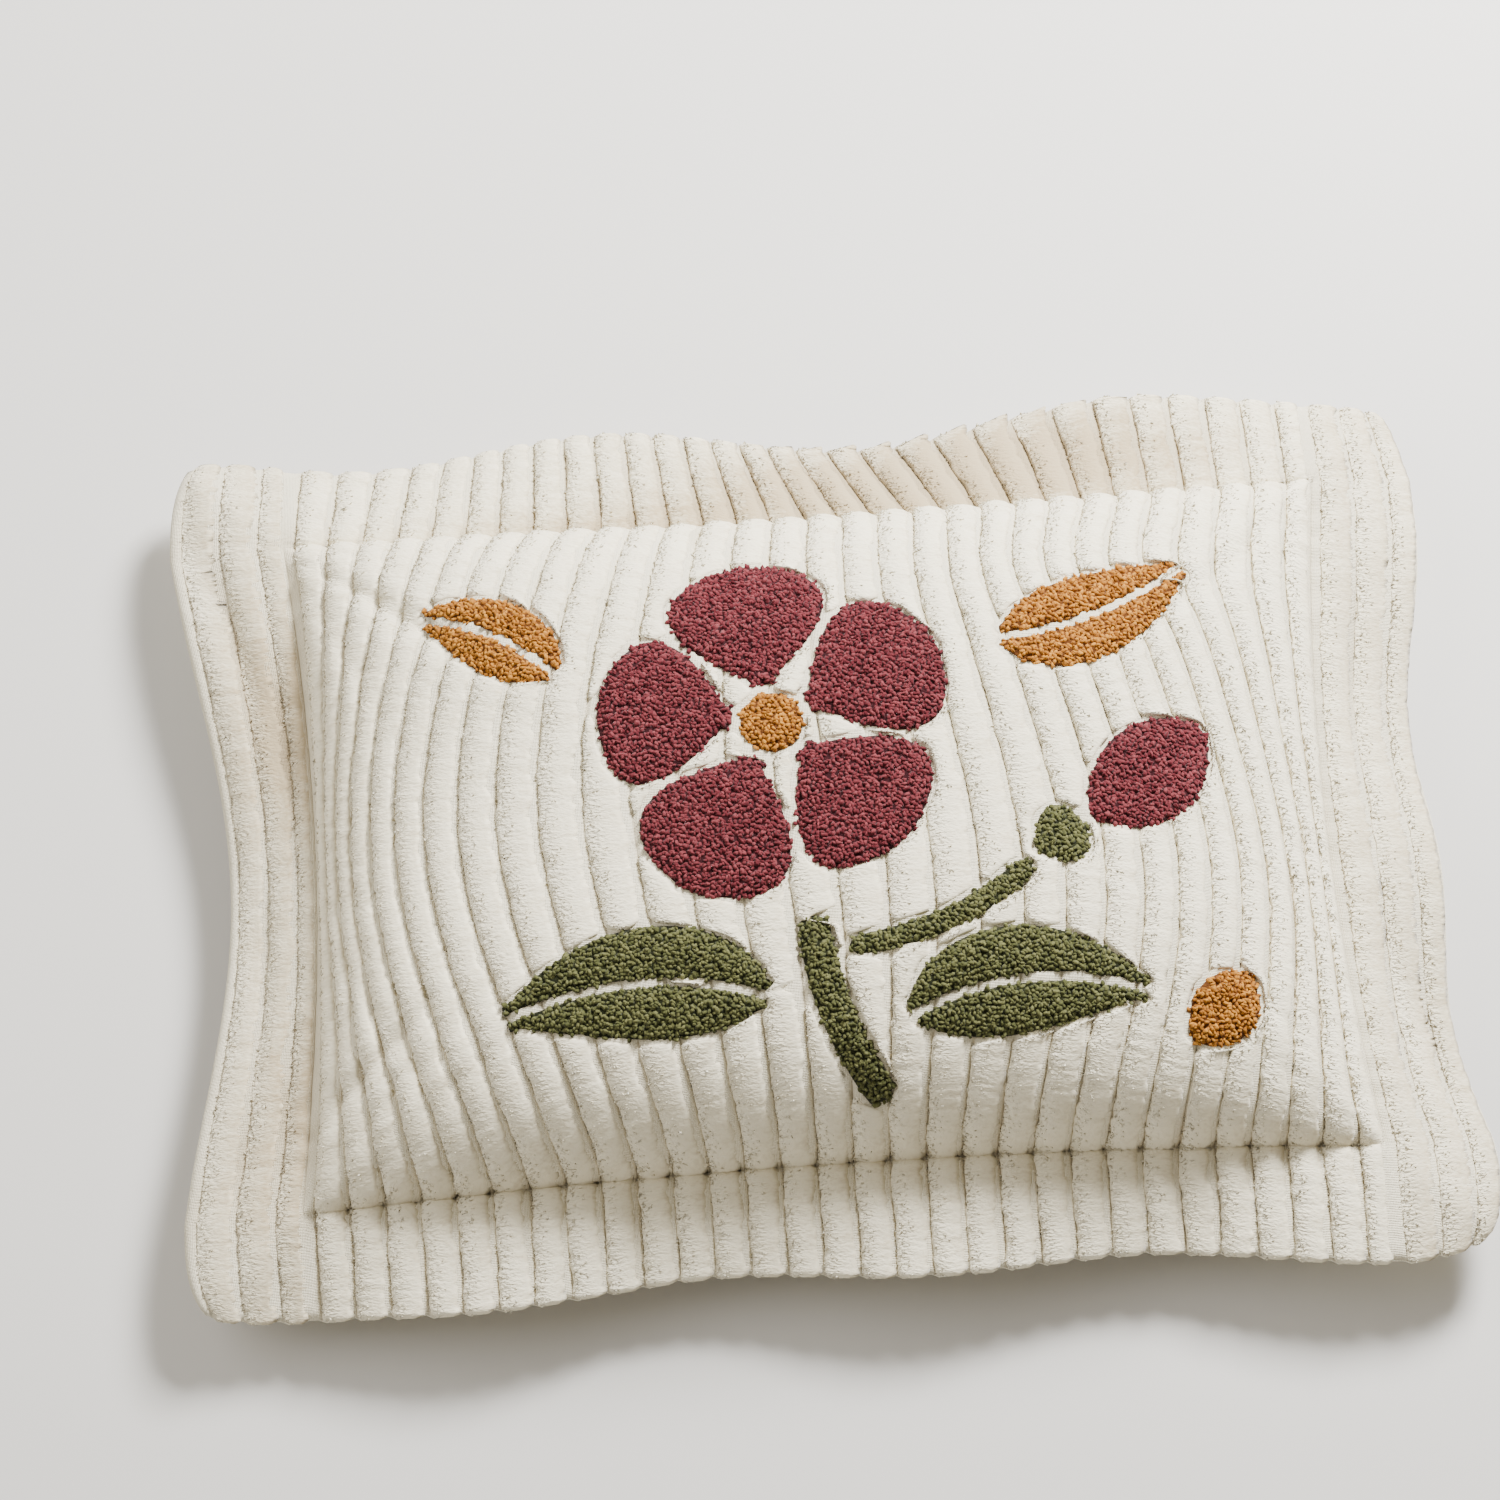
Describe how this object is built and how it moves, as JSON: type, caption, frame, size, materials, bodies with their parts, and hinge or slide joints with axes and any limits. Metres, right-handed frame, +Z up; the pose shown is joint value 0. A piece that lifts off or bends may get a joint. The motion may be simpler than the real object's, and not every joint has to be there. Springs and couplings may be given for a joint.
{
  "type": "chenille pillow sham",
  "caption": "Flanged pillow sham of a chenille bedspread set, ribbed cream cotton with a tufted flower, leaves and buds, filled and lying on its back.",
  "frame": {"origin": "middle of the flat where the sham's back rests on the surface", "axes": "+X along the sham's long side, the way its ribs are counted; +Y along the ribs, towards the flower's upper petal; +Z up, out of the front"},
  "size_m": [0.9284, 0.6683, 0.1662],
  "materials": {
    "cream_chenille": "matt cotton cloth with rows of soft pile",
    "raspberry_tufting": "thick matt cotton pile",
    "green_tufting": "thick matt cotton pile",
    "gold_tufting": "thick matt cotton pile"
  },
  "bodies": {
    "root": {"sham": "cream_chenille", "petal_1": "raspberry_tufting", "petal_2": "raspberry_tufting", "petal_3": "raspberry_tufting", "petal_4": "raspberry_tufting", "petal_5": "raspberry_tufting", "bud": "raspberry_tufting", "flower_heart": "gold_tufting", "gold_bud": "gold_tufting", "gold_leaf_left_upper": "gold_tufting", "gold_leaf_left_lower": "gold_tufting", "gold_leaf_right_upper": "gold_tufting", "gold_leaf_right_lower": "gold_tufting", "leaf_left_upper": "green_tufting", "leaf_left_lower": "green_tufting", "leaf_right_upper": "green_tufting", "leaf_right_lower": "green_tufting", "stem": "green_tufting", "bud_stem": "green_tufting", "bud_calyx": "green_tufting"}
  },
  "joints": []
}
